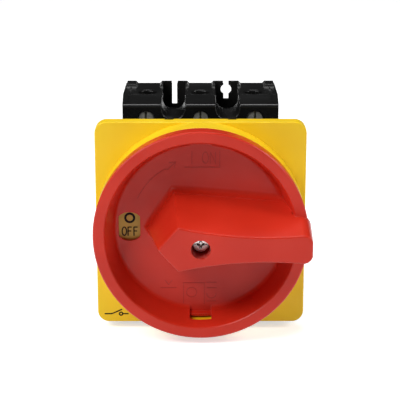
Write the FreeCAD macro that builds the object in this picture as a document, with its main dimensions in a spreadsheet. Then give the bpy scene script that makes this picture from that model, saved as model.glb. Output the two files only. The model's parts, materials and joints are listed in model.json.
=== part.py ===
import FreeCAD, Part
import Sketcher
import math
import os

# A rotary isolator switch: handle and front plate before a panel, mechanism and contacts behind it.
# x runs to the right and z up. y is the depth along the shaft: 0 is the front surface of the
# panel and minus is towards the person who turns the handle. Lengths are in millimetres.

Vector = FreeCAD.Vector
doc = FreeCAD.newDocument("rotary_isolator_switch")

# ---------------------------------------------------------------- driving dimensions
# Names ending in front, back, floor, seat or y are depths. "half" is measured from a middle
# line. "low", "high" and "top" are distances above or below the shaft.
SIZES = {
    # shared: a cut runs past a face, a pad reaches into its neighbour, a hole grips its pin
    "overrun": 1.0, "overlap": 0.5, "tight_fit": 0.02, "through": 60.0,
    # front plate
    "plate_side": 90.0, "plate_corner": 5.0, "plate_front": -10.0, "plate_back": -4.0,
    "plate_skin": 2.8, "plate_wall": 3.0, "plate_inner_corner": 3.0, "plate_round": 0.5,
    "plate_bore_rad": 38.0,
    # locking collar and its screws
    "collar_rad": "=plate_side / 2", "collar_inner_rad": 40.5, "collar_front": -20.4,
    "collar_floor": -11.2, "collar_under": -9.2, "collar_hub_rad": 12.0,
    "collar_spigot_rad": 37.9, "collar_bevel": 0.4,
    "drain_wide": 11.0, "drain_deep": 2.6, "drain_lift": 0.4,
    "collar_screw_x": 25.0, "collar_screw_z": 12.0, "collar_screw_rad": 1.5,
    "collar_head_rad": 2.6, "collar_screw_gap": 0.15, "collar_head_sink": 0.05,
    "collar_head_back": "=collar_floor + 1.2", "collar_screw_end": "=plate_back - 1",
    "collar_slot_half": 1.9, "collar_slot_deep": 0.6, "collar_slot_thin": 0.3,
    # legend disc under the dish, shaft seal
    "legend_front": -11.9, "legend_rad": 37.4, "legend_inner_rad": 16.0, "seal_gap": 0.06,
    # handle dish
    "dish_floor_back": -12.2, "dish_floor_front": -13.8, "dish_floor_rad": 37.1,
    "dish_lip_rad": 40.1, "dish_lip_y": -27.9,
    "rim_inner_rad": 40.6, "rim_front": -29.0, "rim_outer_rad": 45.3, "rim_bevel": 0.5,
    "rim_lip_deep": 0.35, "rim_lip_in": 0.2, "rim_lip_out": 0.25,
    "skirt_back": -20.6, "skirt_rad": "=collar_rad", "skirt_inner_rad": 43.2,
    "groove_top": -26.9, "cup_outer_rad": 41.2, "cup_back_rad": 38.9,
    "hub_rad": 10.0, "hub_back": -6.2,
    "clear_back": 5.0, "clear_low_rad": "=cup_outer_rad - 1.8", "clear_high_rad": 80.0,
    # grip
    "grip_base": -13.0, "grip_front": -46.0, "grip_round": 0.7,
    "tip_front": -17.6, "shoulder_front_x": -9.2, "shoulder_front_z": 9.4,
    "heel_front_x": 42.0, "heel_front_z": 6.0, "end_front_x": 45.8, "end_front_z": 3.0,
    "side_front_arc": 160.0, "end_front_arc": 3.9,
    "tip_base": -23.4, "shoulder_base_x": -11.7, "shoulder_base_z": 16.6,
    "heel_base_x": 40.5, "heel_base_z": 12.0, "end_base_x": 46.5, "end_base_z": 6.2,
    "side_base_arc": 1500.0, "end_base_arc": 6.6,
    "shaft_half": 4.0, "shaft_front": -30.0, "shaft_back": 27.0,
    "screw_well_rad": 4.05, "screw_well_floor": -36.0, "screw_way_rad": 2.2,
    "screw_way_front": "=screw_well_floor - 0.1",
    "socket_half": "=shaft_half + 0.08", "socket_end": -30.4,
    "grip_core_x": 14.0, "grip_core_end": 36.0, "grip_core_half": 3.6, "grip_core_front": -42.5,
    # label window and padlock openings of the dish
    "label_rad": 6.4, "label_left": -35.1, "label_right": -25.9,
    "label_side_half": "=label_rad * 0.70033",
    "hasp_half": 4.6, "hasp_front": -23.0, "hasp_open_y": -17.2,
    "hasp_back": "=dish_floor_front + 0.01", "hasp_low": "=dish_floor_rad - 1.6",
    "hasp_top": "=cup_outer_rad + 0.3", "ledge_top_back": 38.3, "ledge_top_front": 38.5,
    # handle screw, its drive recesses and its washer
    "knob_screw_front": "=screw_well_floor - 3.1", "knob_head_edge": "=screw_well_floor - 2.2",
    "knob_head_back": "=screw_well_floor - 0.6", "knob_screw_end": "=screw_well_floor + 17",
    "knob_head_rad": 3.3, "knob_dome_arc": 6.5, "knob_screw_rad": 1.95,
    "recess_front": "=screw_well_floor - 3.3",
    "long_slot_floor": "=screw_well_floor - 1.95", "long_slot_x": 3.6, "long_slot_z": 0.3,
    "short_slot_floor": "=screw_well_floor - 1.6", "short_slot_x": 0.45, "short_slot_z": 1.8,
    "diamond_floor": "=screw_well_floor - 1.75", "diamond_half": 1.2,
    "washer_front": "=screw_well_floor - 0.58", "washer_rad": 3.7, "washer_hole_rad": 2.15,
    # mounting frame behind the plate, with the panel gasket
    "frame_side": 86.0, "frame_corner": 4.0, "frame_island_side": 83.4, "island_corner": 2.6,
    "frame_island_front": -7.0, "frame_disc_rad": 37.4, "frame_disc_front": -9.1,
    "frame_hub_rad": 11.2, "frame_shaft_rad": 8.6, "neck_rad": 27.0, "neck_back": 4.0,
    "panel_hole_place": 35.0, "panel_hole_rad": 2.25, "collar_hole_end": "=plate_back - 0.8",
    "gasket_outer": 84.0, "gasket_inner": 76.0, "gasket_thick": 1.2, "gasket_gap": 0.1,
    "gasket_outer_corner": 3.4, "gasket_inner_corner": 2.0,
    "tab_x": 13.45, "tab_half": 1.8, "tab_top": 45.7, "tab_nose": -5.4, "tab_under": 45.04,
    "tab_front": "=plate_back + 0.05", "tab_back": "=plate_back + 2.6",
    # mechanism housing and cover behind the panel
    "mech_front": "=neck_back", "mech_wall_back": 6.0, "mech_back": 16.0, "mech_half": 31.0,
    "mech_corner": 3.0, "mech_round": 0.8, "mech_cavity_half": 22.0,
    "boss_rad": 3.6, "boss_back": "=mech_front + 7.6", "bush_rad": 10.0,
    "cover_front": 11.7, "cover_back": 13.6, "cover_corner": 0.8,
    "cover_half": "=mech_cavity_half - 0.15", "cover_rim_front": "=cover_back - 0.4",
    # screws from the frame into the mechanism housing
    "frame_screw_place": 17.0, "frame_screw_rad": 1.9, "frame_head_rad": 3.5,
    "frame_screw_gap": 0.2, "frame_head_gap": 0.4, "frame_screw_seat": "=plate_back - 1",
    "frame_head_front": "=plate_back - 3.4", "frame_screw_end": "=mech_front + 7",
    "frame_hole_end": "=mech_front + 7.2", "frame_slot_half": 2.6,
    "frame_slot_floor": "=plate_back - 2.2", "frame_slot_thin": 0.4,
    # shaft, index cam and cam drum
    "shaft_bevel": 0.6, "tap_rad": 1.98, "tap_deep": 14.0,
    "cam_front": 6.3, "cam_back": 11.3, "cam_flat": 11.0, "cam_corner_rad": 13.5,
    "cam_outside": 20.0, "cam_hub_rad": 8.0, "cam_hub_front": 3.2, "cam_hub_back": 13.95,
    "bush_bore_rad": "=cam_hub_rad + 0.06",
    "lug_front": 9.8, "lug_half": 2.5, "lug_rad": 18.0,
    "stop_gap": 0.1, "stop_thick": 5.0, "stop_low": "=lug_rad - 4", "stop_margin": 0.2,
    "follower_y": 17.7, "follower_rad": 1.75, "follower_inner": 11.5, "follower_gap": 0.03,
    "drum_rad": 15.5, "drum_front": 14.1, "drum_back": "=shaft_back",
    "slot_floor_rad": 11.2, "slot_rad": "=follower_rad + 0.1", "slot_cutter": 8.0,
    "drum_bore_half": "=shaft_half + 0.04", "throw": 6.0, "quarter_turn": 90.0,
    "drum_pin_y": 15.5, "drum_pin_rad": 0.9, "drum_pin_sink": 0.3, "pin_hole_length": 30.0,
    # index springs and the seats for their ends
    "leaf_thick": 0.5, "leaf_middle": "=cam_flat + 0.05", "leaf_end": 14.3, "leaf_half": 14.0,
    "leaf_wide": 2.8, "leaf_front": "=cam_front + 0.3",
    "seat_x": 12.5, "seat_half": 1.2, "seat_low": 14.9, "seat_back": "=lug_front - 0.5",
    # sliding bridge carrier
    "pole_pitch": 24.0, "arm_inner": 16.2, "arm_outer": 19.2, "arm_half": 4.0,
    "arm_front": 15.6, "beam_front": 27.5, "beam_back": 30.0, "beam_half": 31.0,
    "beam_high": 8.5, "leg_inner": 7.4, "leg_outer": 9.0, "leg_half": 3.4,
    "end_leg_inner": 5.3, "end_leg_outer": "=beam_half - pole_pitch",
    "stirrup_front": 38.15, "stirrup_back": 40.6,
    # moving contacts
    "bridge_front": 36.0, "bridge_back": 38.0, "bridge_half": 4.0, "bridge_high": 17.0,
    "bridge_round": 0.6, "tip_low": 10.0, "tip_high": 16.0, "tip_half": 2.8,
    "moving_tip_back": 39.46, "fixed_tip_front": 45.5,
    "spring_rad": 2.6, "spring_wire": 0.45, "spring_turns": 4.0, "spring_gap": 0.05,
    # contact housings
    "block_front": "=mech_back", "block_split": 37.0, "block_back": 62.0, "block_high": 46.65,
    "block_half_front": 34.3, "block_half_split": 35.0, "block_half_back": 34.6,
    "block_round": 1.3, "bay_rad": 20.6, "bay_back": 27.2,
    "beam_way_front": "=bay_back - 0.3", "beam_way_half": 31.6, "beam_way_high": 9.2,
    "chamber_half": 10.4, "chamber_end_half": 8.0, "chamber_high": 21.0,
    "chamber_front": 31.0, "chamber_back": 52.0,
    "pocket_half": 5.35, "pocket_front": 26.6, "pocket_back": 52.0,
    "pocket_low": 31.0, "pocket_high": 44.3,
    "mouth_front": 37.6, "mouth_back": 45.8, "mouth_half": 4.1, "mouth_corner": 3.9,
    "mouth_lip": 0.5, "screw_row": 40.1, "screw_way": 3.75,
    "trough_x": 12.0, "trough_half": 5.15, "trough_floor": 39.9, "trough_arc": 5.0,
    "trough_top": "=block_high + 2", "trough_round": 0.5, "gap_floor": 35.0, "gap_back": 60.0,
    "notch_half": 1.15, "notch_floor": 36.85,
    "key_half": 1.15, "key_floor": 39.3, "key_rad": 2.5, "key_high": 43.95,
    "ridge_high": 47.7, "ridge_front": 53.0, "ridge_bevel": 1.0,
    "ridge_root": "=block_high - 0.5", "ridge_foot": "=block_high - 0.02",
    "line_x": 31.9, "line_half": 0.35, "line_deep": 0.5, "line_front": "=block_front + 3",
    "bar_way_half": 4.4, "bar_way_front": 46.6, "bar_way_back": 49.6,
    # long screws that hold the housings together
    "long_screw_x": 12.0, "long_screw_z": 27.0, "long_screw_rad": 1.9, "long_way_rad": 2.1,
    "long_head_rad": 3.4, "long_head_gap": 0.3, "long_head_seat": 58.5,
    "long_head_back": "=long_head_seat + 2.4", "long_screw_end": "=mech_front + 5",
    "long_hole_end": "=mech_front + 4", "long_drive_half": 2.4,
    "long_drive_floor": "=long_head_seat + 1.2", "long_drive_thin": 0.4,
    # terminals
    "bar_front": 47.0, "bar_back": 49.0, "bar_half": 4.0, "bar_low": 9.0, "bar_top": 43.6,
    "bar_round": 0.7, "cage_half": 5.2, "cage_in_half": 4.15, "cage_front": 27.4,
    "cage_nut_back": 30.6, "cage_seat": "=bar_back + 0.1", "cage_back": 51.0,
    "cage_low": 33.6, "cage_top": 44.0, "clamp_rad": 2.9, "clamp_hole_rad": "=clamp_rad + 0.1",
    "clamp_head_rad": 3.35, "clamp_head_front": 16.7, "clamp_head_back": 19.9,
    "clamp_tip": 35.4, "clamp_slot_thin": 0.5, "clamp_slot_deep": 1.6, "clamp_slot_half": 4.0,
    "saddle_front": "=clamp_tip + 0.05", "saddle_back": 37.0, "saddle_half": 3.9,
    "saddle_low": "=cage_low + 1", "saddle_top": "=cage_top - 0.6",
    # arc plates
    "arc_plate_first": "=bridge_back + 1.4", "arc_plate_pitch": 2.2, "arc_plate_thick": 0.8,
    "arc_plate_half": 7.2, "arc_plate_low": 17.4, "arc_plate_high": "=chamber_high - 0.2",
}

ARC_PLATES = 3
SLOT_STEPS = 30

# Rounding between the dish's floor and its wall: step to the front, step outwards.
DISH_ROUNDING = ((0.0, -1.4), (0.13, -0.81), (0.45, -0.33), (0.92, 0.04), (1.5, 0.32))

# Ridges at the rear housing's back: left and right side of the top, then how far the foot
# spreads beyond it on the left and on the right.
RIDGES = (
    (-34.0, -29.9, 0.4, 1.0), (-17.9, -13.3, 1.0, 0.0), (-10.6, -6.1, 0.0, 1.0),
    (6.1, 10.6, 1.0, 0.0), (13.0, 17.9, 0.0, 1.0), (29.9, 34.0, 1.0, 0.4),
)

sheet = doc.addObject("Spreadsheet::Sheet", "Dims")
for row, (alias, content) in enumerate(SIZES.items(), 1):
    sheet.set(f"A{row}", alias)
    sheet.set(f"B{row}", str(content))
    sheet.setAlias(f"B{row}", alias)
doc.recompute()


class Size:
    """A dimension worked out from sheet cells: its expression for the document, its value now."""

    def __init__(self, text, value):
        self.text, self.value = text, value

    def __add__(self, other):
        other = as_size(other)
        return Size(f"({self.text} + {other.text})", self.value + other.value)

    def __radd__(self, other):
        return as_size(other) + self

    def __sub__(self, other):
        other = as_size(other)
        return Size(f"({self.text} - {other.text})", self.value - other.value)

    def __rsub__(self, other):
        return as_size(other) - self

    def __neg__(self):
        return Size(f"(0 - {self.text})", -self.value)

    def __mul__(self, other):
        other = as_size(other)
        return Size(f"({self.text} * {other.text})", self.value * other.value)

    __rmul__ = __mul__

    def __truediv__(self, other):
        other = as_size(other)
        return Size(f"({self.text} / {other.text})", self.value / other.value)


def as_size(number):
    return number if isinstance(number, Size) else Size(repr(float(number)), float(number))


class Sheet:
    """Gives each sheet cell by its alias, as a Size."""

    def __getattr__(self, alias):
        return Size("Dims." + alias, float(sheet.get(alias)))


dim = Sheet()


def bind(piece, prop, size):
    piece.setExpression(prop, as_size(size).text)


# ---------------------------------------------------------------- places that repeat
SIDES = (-1.0, 1.0)


def four_corners(x, z):
    return [(x, z), (-x, z), (-x, -z), (x, -z)]


def span(side, low, high):
    """The range low..high, or its mirror image when side is negative."""
    return (low, high) if side > 0 else (-high, -low)


COLLAR_SCREWS = four_corners(dim.collar_screw_x, dim.collar_screw_z)
FRAME_SCREWS = four_corners(dim.frame_screw_place, dim.frame_screw_place)
PANEL_HOLES = four_corners(dim.panel_hole_place, dim.panel_hole_place)
LONG_SCREWS = four_corners(dim.long_screw_x, dim.long_screw_z)
POLES = [(number, dim.pole_pitch * (number - 2)) for number in (1, 2, 3)]
# Each terminal: its row, pole number, side (line above the shaft, load below) and x.
TERMINALS = [(row, number, side, x) for row, side in (("line", 1.0), ("load", -1.0))
             for number, x in POLES]


def pole_sides(number, usual, outermost):
    """Reach to the left and right of a pole, with another reach at the row's two ends."""
    return outermost if number == 1 else usual, outermost if number == 3 else usual


# ---------------------------------------------------------------- sketches
def new_body(label):
    return doc.addObject("PartDesign::Body", label)


def new_sketch(body, role, place, shapes):
    """A sketch on one of the body's origin planes, moved along its axis to place."""
    plane = [item for item in body.Origin.OriginFeatures if item.Role == role][0]
    sketch = body.newObject("Sketcher::SketchObject", "Sketch")
    sketch.AttachmentSupport = [(plane, "")]
    sketch.MapMode = "FlatFace"
    place = as_size(place)
    # the XZ plane faces towards minus y
    offset = -place if role == "XZ_Plane" else place
    sketch.setExpression(".AttachmentOffset.Base.z", offset.text)
    for draw in shapes:
        draw(sketch)
    return sketch


def drive(sketch, size, kind, *where):
    """Add a constraint whose value follows size."""
    index = sketch.addConstraint(Sketcher.Constraint(kind, *where, size.value))
    sketch.setExpression(f"Constraints[{index}]", size.text)


def hold(sketch, geometry, point, place):
    """Hold one point of a sketch at place, each coordinate driven by its own expression."""
    for axis, axis_line, coordinate in (("X", -2, place[0]), ("Y", -1, place[1])):
        size = as_size(coordinate)
        if abs(size.value) < 1e-9:
            sketch.addConstraint(
                Sketcher.Constraint("PointOnObject", geometry, point, axis_line))
        else:
            drive(sketch, size, "Distance" + axis, -1, 1, geometry, point)


# The shape functions below return a function that draws the shape in a sketch.
def flat_point(place):
    return Vector(as_size(place[0]).value, as_size(place[1]).value, 0)


def circle(x, z, radius):
    def draw(sketch):
        size = as_size(radius)
        centre = flat_point((x, z))
        geometry = sketch.addGeometry(Part.Circle(centre, Vector(0, 0, 1), size.value), False)
        drive(sketch, size, "Radius", geometry)
        if centre.Length < 1e-9:
            sketch.addConstraint(Sketcher.Constraint("Coincident", geometry, 3, -1, 1))
        else:
            hold(sketch, geometry, 3, (x, z))
    return draw


def circles(places, radius):
    return [circle(x, z, radius) for x, z in places]


def outline(*corners):
    """A closed outline. A corner (x, z) is reached by a line. A corner (x, z, radius, side)
    is reached by an arc that bulges to the right of travel if side is 1, to the left if -1."""
    def draw(sketch):
        targets = corners[1:] + corners[:1]
        ends = []
        for corner, target in zip(corners, targets):
            start, end = flat_point(corner), flat_point(target)
            if len(target) == 2:
                geometry = sketch.addGeometry(Part.LineSegment(start, end), False)
                ends.append((geometry, 1, 2))
                continue
            radius, side = as_size(target[2]), target[3]
            chord = end - start
            half = chord.Length / 2
            sag = radius.value - math.sqrt(max(radius.value ** 2 - half ** 2, 0))
            outwards = Vector(chord.y, -chord.x, 0).normalize() * side
            middle = (start + end) * 0.5 + outwards * sag
            geometry = sketch.addGeometry(Part.Arc(start, middle, end), False)
            # a sketch keeps its arcs counter-clockwise, so the ends may be swapped
            first = 1 if (sketch.getPoint(geometry, 1) - start).Length < 1e-4 else 2
            ends.append((geometry, first, 3 - first))
            drive(sketch, radius, "Radius", geometry)
        for index, (geometry, _, last) in enumerate(ends):
            following, first, _ = ends[(index + 1) % len(ends)]
            sketch.addConstraint(
                Sketcher.Constraint("Coincident", geometry, last, following, first))
            hold(sketch, following, first, targets[index])
    return draw


def rect(x0, x1, z0, z1):
    return outline((x0, z0), (x1, z0), (x1, z1), (x0, z1))


def middle_rect(half_x, half_z):
    return rect(-half_x, half_x, -half_z, half_z)


def square(half):
    return middle_rect(half, half)


def round_rect(x0, x1, z0, z1, radius):
    return outline(
        (x0 + radius, z0, radius, 1), (x1 - radius, z0),
        (x1, z0 + radius, radius, 1), (x1, z1 - radius),
        (x1 - radius, z1, radius, 1), (x0 + radius, z1),
        (x0, z1 - radius, radius, 1), (x0, z0 + radius))


def round_square(half, radius):
    return round_rect(-half, half, -half, half, radius)


# ---------------------------------------------------------------- features
def volume(body):
    doc.recompute()
    tip = body.Tip
    if tip is None or tip.TypeId.startswith("Sketcher") or tip.Shape.isNull():
        return 0.0
    return tip.Shape.Volume


def is_bad(piece):
    return any(state in ("Invalid", "Error") for state in piece.State)


def need(feature, right):
    if is_bad(feature) or not right:
        raise RuntimeError(f"{feature.Label} did not come out: {feature.getStatusString()}")


def need_change(body, feature, before):
    """A pad or revolution must add material, a pocket or groove must take some away."""
    gain = volume(body) - before
    adds = feature.TypeId in ("PartDesign::Pad", "PartDesign::Revolution")
    need(feature, gain > 1e-6 if adds else gain < -1e-6)


def extrude(body, kind, role, start, length, shapes, reverse=False, midplane=False):
    before = volume(body)
    sketch = new_sketch(body, role, start, shapes)
    feature = body.newObject("PartDesign::" + kind, kind)
    feature.Profile = sketch
    bind(feature, "Length", length)
    feature.Reversed = reverse
    if midplane:
        feature.Midplane = True
    need_change(body, feature, before)


def depth_pad(body, front, back, *shapes):
    extrude(body, "Pad", "XZ_Plane", front, as_size(back) - front, shapes, reverse=True)


def depth_pocket(body, front, back, *shapes):
    extrude(body, "Pocket", "XZ_Plane", front, as_size(back) - front, shapes)


def face_pocket(body, side, depth, *shapes):
    """Cut from the top face of a contact housing, or the bottom one, towards the shaft."""
    extrude(body, "Pocket", "XY_Plane", side * dim.block_high, depth, shapes, reverse=side < 0)


def spin(body, kind, *shapes):
    """Turn a profile drawn as (y, radius) about the shaft's axis."""
    before = volume(body)
    sketch = new_sketch(body, "YZ_Plane", 0, shapes)
    feature = body.newObject("PartDesign::" + kind, kind)
    feature.Profile = sketch
    feature.ReferenceAxis = (sketch, ["H_Axis"])
    feature.Angle = 360.0
    need_change(body, feature, before)


def edges_where(shape, test):
    """Names of the edges whose start, middle and end points pass the test."""
    names = []
    for number, edge in enumerate(shape.Edges, 1):
        first, last = edge.FirstParameter, edge.LastParameter
        # guards against a degenerate edge, which has no curve to take points from
        try:
            points = [edge.valueAt(first), edge.valueAt((first + last) / 2), edge.valueAt(last)]
        except Exception:
            continue
        if test(points):
            names.append(f"Edge{number}")
    return names


def dress(body, kind, size, test):
    """A fillet or chamfer on the edges that the test picks."""
    doc.recompute()
    tip = body.Tip
    names = edges_where(tip.Shape, test)
    if not names:
        raise RuntimeError(f"{body.Label}: no edge for the {kind}")
    feature = body.newObject("PartDesign::" + kind, kind)
    feature.Base = (tip, names)
    bind(feature, "Radius" if kind == "Fillet" else "Size", size)
    doc.recompute()
    need(feature, not feature.Shape.isNull() and feature.Shape.isValid())


def dress_if_possible(body, kind, size, test):
    # guards against an edge selection that is empty or gives an invalid shape: the script goes
    # on, and a feature left in error is reported before export
    try:
        dress(body, kind, size, test)
    except Exception as reason:
        FreeCAD.Console.PrintWarning(f"{reason}\n")


def near(value, size):
    return abs(value - size.value) < 1e-6


def at_depth(points, depth):
    return all(near(point.y, depth) for point in points)


def depth_run(points):
    """How far an edge runs in depth from its start to its end."""
    return abs(points[0].y - points[2].y)


# ---------------------------------------------------------------- primitives
ALONG_X = FreeCAD.Rotation(Vector(0, 1, 0), 90)
ALONG_Y = FreeCAD.Rotation(Vector(1, 0, 0), -90)
ALONG_Z = FreeCAD.Rotation()


def primitive(kind, label, sizes, place, rotation=ALONG_Z):
    piece = doc.addObject("Part::" + kind, label)
    for prop, size in sizes.items():
        bind(piece, prop, size)
    piece.Placement = FreeCAD.Placement(Vector(0, 0, 0), rotation)
    for axis, size in zip("xyz", place):
        bind(piece, ".Placement.Base." + axis, size)
    return piece


def rod(label, radius, front, back, x, z):
    """A cylinder along the depth."""
    sizes = {"Radius": radius, "Height": back - front}
    return primitive("Cylinder", label, sizes, (x, front, z), ALONG_Y)


def box(label, x0, x1, y0, y1, z0, z1):
    sizes = {"Length": x1 - x0, "Width": y1 - y0, "Height": z1 - z0}
    return primitive("Box", label, sizes, (x0, y0, z0))


def cut(label, base, tool):
    piece = doc.addObject("Part::Cut", label)
    piece.Base = base
    piece.Tool = tool
    return piece


def group(label, parts):
    """Several separate solids kept together under one name."""
    piece = doc.addObject("Part::Compound", label)
    piece.Links = parts
    return piece


def plain_piece(label, shape):
    piece = doc.addObject("Part::Feature", label)
    piece.Shape = shape
    return piece


def slotted_screw(kind, tag, x, z, head, stem, slot):
    """Head and stem are (radius, front, back). Slot is (half x, front, back, half z)."""
    half_x, front, back, half_z = slot
    head_rod = rod(f"{kind}_head_{tag}", *head, x, z)
    stem_rod = rod(f"{kind}_stem_{tag}", *stem, x, z)
    slot_box = box(f"{kind}_drive_{tag}", x - half_x, x + half_x, front, back,
                   z - half_z, z + half_z)
    blank = doc.addObject("Part::MultiFuse", f"{kind}_blank_{tag}")
    blank.Shapes = [head_rod, stem_rod]
    return cut(f"{kind}_screw_{tag}", blank, slot_box)


def screw_set(label, kind, places, head, stem, slot):
    return group(label, [slotted_screw(kind, index, x, z, head, stem, slot)
                         for index, (x, z) in enumerate(places)])


# ---------------------------------------------------------------- before the panel
def front_plate():
    body = new_body("front_plate")
    front, back, half = dim.plate_front, dim.plate_back, dim.plate_side / 2
    depth_pad(body, front, back, round_square(half, dim.plate_corner))
    dress(body, "Fillet", dim.plate_round, lambda points: at_depth(points, front))
    depth_pocket(body, front + dim.plate_skin, back,
                 round_square(half - dim.plate_wall, dim.plate_inner_corner))
    depth_pocket(body, front - dim.overrun, back, circle(0, 0, dim.plate_bore_rad))
    return body


def locking_collar():
    body = new_body("locking_collar")
    floor, under, bevel = dim.collar_floor, dim.collar_under, dim.collar_bevel
    spin(body, "Revolution", outline(
        (dim.collar_front, dim.collar_inner_rad), (dim.collar_front, dim.collar_rad - bevel),
        (dim.collar_front + bevel, dim.collar_rad), (dim.plate_front, dim.collar_rad),
        (dim.plate_front, dim.collar_spigot_rad), (under, dim.collar_spigot_rad),
        (under, dim.collar_hub_rad), (floor, dim.collar_hub_rad),
        (floor, dim.collar_inner_rad)))
    # a slot through the ring at the bottom, where water drains
    slot_back = floor - dim.drain_lift
    slot = rect(-dim.drain_wide / 2, dim.drain_wide / 2, slot_back - dim.drain_deep, slot_back)
    extrude(body, "Pocket", "XY_Plane", 0, dim.through, [slot])
    gap = dim.collar_screw_gap
    depth_pocket(body, floor, dim.collar_head_back,
                 *circles(COLLAR_SCREWS, dim.collar_head_rad + gap))
    depth_pocket(body, floor, under, *circles(COLLAR_SCREWS, dim.collar_screw_rad + gap))
    return body


def collar_screws():
    """Screws sunk in the collar's floor."""
    floor, seat = dim.collar_floor, dim.collar_head_back
    return screw_set(
        "collar_screws", "collar", COLLAR_SCREWS,
        head=(dim.collar_head_rad, floor + dim.collar_head_sink, seat),
        stem=(dim.collar_screw_rad, seat, dim.collar_screw_end),
        slot=(dim.collar_slot_half, floor - dim.overrun, floor + dim.collar_slot_deep,
              dim.collar_slot_thin))


def legend_plate():
    body = new_body("legend_plate")
    depth_pad(body, dim.legend_front, dim.collar_floor,
              circle(0, 0, dim.legend_rad), circle(0, 0, dim.legend_inner_rad))
    return body


def shaft_seal():
    """A ring between the handle's hub and the collar."""
    sizes = {"Radius1": (dim.collar_hub_rad + dim.hub_rad) / 2,
             "Radius2": (dim.collar_hub_rad - dim.hub_rad) / 2 - dim.seal_gap}
    place = (0, (dim.collar_floor + dim.collar_under) / 2, 0)
    return primitive("Torus", "shaft_seal", sizes, place, ALONG_Y)


def frame_tabs(low, high):
    return [rect(side * dim.tab_x - dim.tab_half, side * dim.tab_x + dim.tab_half,
                 *span(edge, low, high)) for side in SIDES for edge in SIDES]


def mounting_frame():
    body = new_body("mounting_frame")
    plate_back, front, back = dim.plate_back, dim.frame_disc_front, dim.neck_back
    half = dim.frame_side / 2
    depth_pad(body, plate_back, 0, round_square(half, dim.frame_corner))
    depth_pad(body, dim.frame_island_front, plate_back,
              round_square(dim.frame_island_side / 2, dim.island_corner))
    depth_pad(body, front, dim.frame_island_front, circle(0, 0, dim.frame_disc_rad))
    depth_pad(body, 0, back, circle(0, 0, dim.neck_rad))
    # tabs at the top and bottom edges, then the nose at the end of each
    depth_pad(body, dim.tab_front, dim.tab_back, *frame_tabs(half - dim.overrun, dim.tab_top))
    depth_pad(body, dim.tab_nose, plate_back + dim.overlap,
              *frame_tabs(dim.tab_under, dim.tab_top))
    depth_pocket(body, front, plate_back, circle(0, 0, dim.frame_hub_rad))
    depth_pocket(body, front, back, circle(0, 0, dim.frame_shaft_rad))
    depth_pocket(body, front, back,
                 *circles(FRAME_SCREWS, dim.frame_screw_rad + dim.frame_screw_gap))
    depth_pocket(body, front, dim.frame_screw_seat,
                 *circles(FRAME_SCREWS, dim.frame_head_rad + dim.frame_head_gap))
    depth_pocket(body, front, 0, *circles(PANEL_HOLES, dim.panel_hole_rad))
    depth_pocket(body, front, dim.collar_hole_end,
                 *circles(COLLAR_SCREWS, dim.collar_screw_rad + dim.tight_fit))
    # groove for the panel gasket
    depth_pocket(body, -dim.gasket_thick, 0,
                 round_square(dim.gasket_outer / 2, dim.gasket_outer_corner),
                 round_square(dim.gasket_inner / 2, dim.gasket_inner_corner))
    return body


def panel_gasket():
    body = new_body("panel_gasket")
    gap = dim.gasket_gap
    depth_pad(body, -dim.gasket_thick, 0,
              round_square(dim.gasket_outer / 2 - gap, dim.gasket_outer_corner - gap),
              round_square(dim.gasket_inner / 2 + gap, dim.gasket_inner_corner + gap))
    return body


def frame_screws():
    """Screws from the frame into the mechanism housing."""
    front, seat = dim.frame_head_front, dim.frame_screw_seat
    return screw_set(
        "frame_screws", "body", FRAME_SCREWS,
        head=(dim.frame_head_rad, front, seat),
        stem=(dim.frame_screw_rad, seat, dim.frame_screw_end),
        slot=(dim.frame_slot_half, front - dim.overrun, dim.frame_slot_floor,
              dim.frame_slot_thin))


# ---------------------------------------------------------------- mechanism housing
def mechanism_housing():
    body = new_body("mechanism_housing")
    front, back, wall_back = dim.mech_front, dim.mech_back, dim.mech_wall_back
    wall_side = dim.mech_cavity_half + dim.overlap
    depth_pad(body, front, back, round_square(dim.mech_half, dim.mech_corner))
    dress(body, "Fillet", dim.mech_round, lambda points: at_depth(points, front))
    depth_pocket(body, wall_back, back, square(dim.mech_cavity_half))
    # bosses for the frame's screws
    depth_pad(body, wall_back - dim.overlap, dim.boss_back,
              *circles(FRAME_SCREWS, dim.boss_rad))
    # two stops that hold the turn to a quarter
    stop_near = dim.lug_half + dim.stop_gap
    stop_far = stop_near + dim.stop_thick
    depth_pad(body, dim.lug_front - dim.stop_margin, dim.cam_back + dim.stop_margin,
              rect(-wall_side, -dim.stop_low, -stop_far, -stop_near),
              rect(stop_near, stop_far, dim.stop_low, wall_side))
    # seats for the ends of the index springs
    depth_pad(body, wall_back - dim.overlap, dim.seat_back, *[
        rect(side * dim.seat_x - dim.seat_half, side * dim.seat_x + dim.seat_half,
             *span(edge, dim.seat_low, wall_side)) for side in SIDES for edge in SIDES])
    depth_pocket(body, front, wall_back, circle(0, 0, dim.bush_rad))
    depth_pocket(body, front, dim.frame_hole_end,
                 *circles(FRAME_SCREWS, dim.frame_screw_rad + dim.tight_fit))
    depth_pocket(body, dim.long_hole_end, back,
                 *circles(LONG_SCREWS, dim.long_screw_rad + dim.tight_fit))
    return body


def shaft_bush():
    body = new_body("shaft_bush")
    depth_pad(body, dim.mech_front, dim.mech_wall_back,
              circle(0, 0, dim.bush_rad), circle(0, 0, dim.bush_bore_rad))
    return body


def mechanism_cover():
    """A square cover with a raised rim towards the contact housing."""
    body = new_body("mechanism_cover")
    edge = round_square(dim.cover_half, dim.cover_corner)
    depth_pad(body, dim.cover_front, dim.cover_back, edge, circle(0, 0, dim.bush_bore_rad))
    depth_pad(body, dim.cover_rim_front, dim.mech_back, edge, circle(0, 0, dim.bay_rad))
    return body


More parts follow.
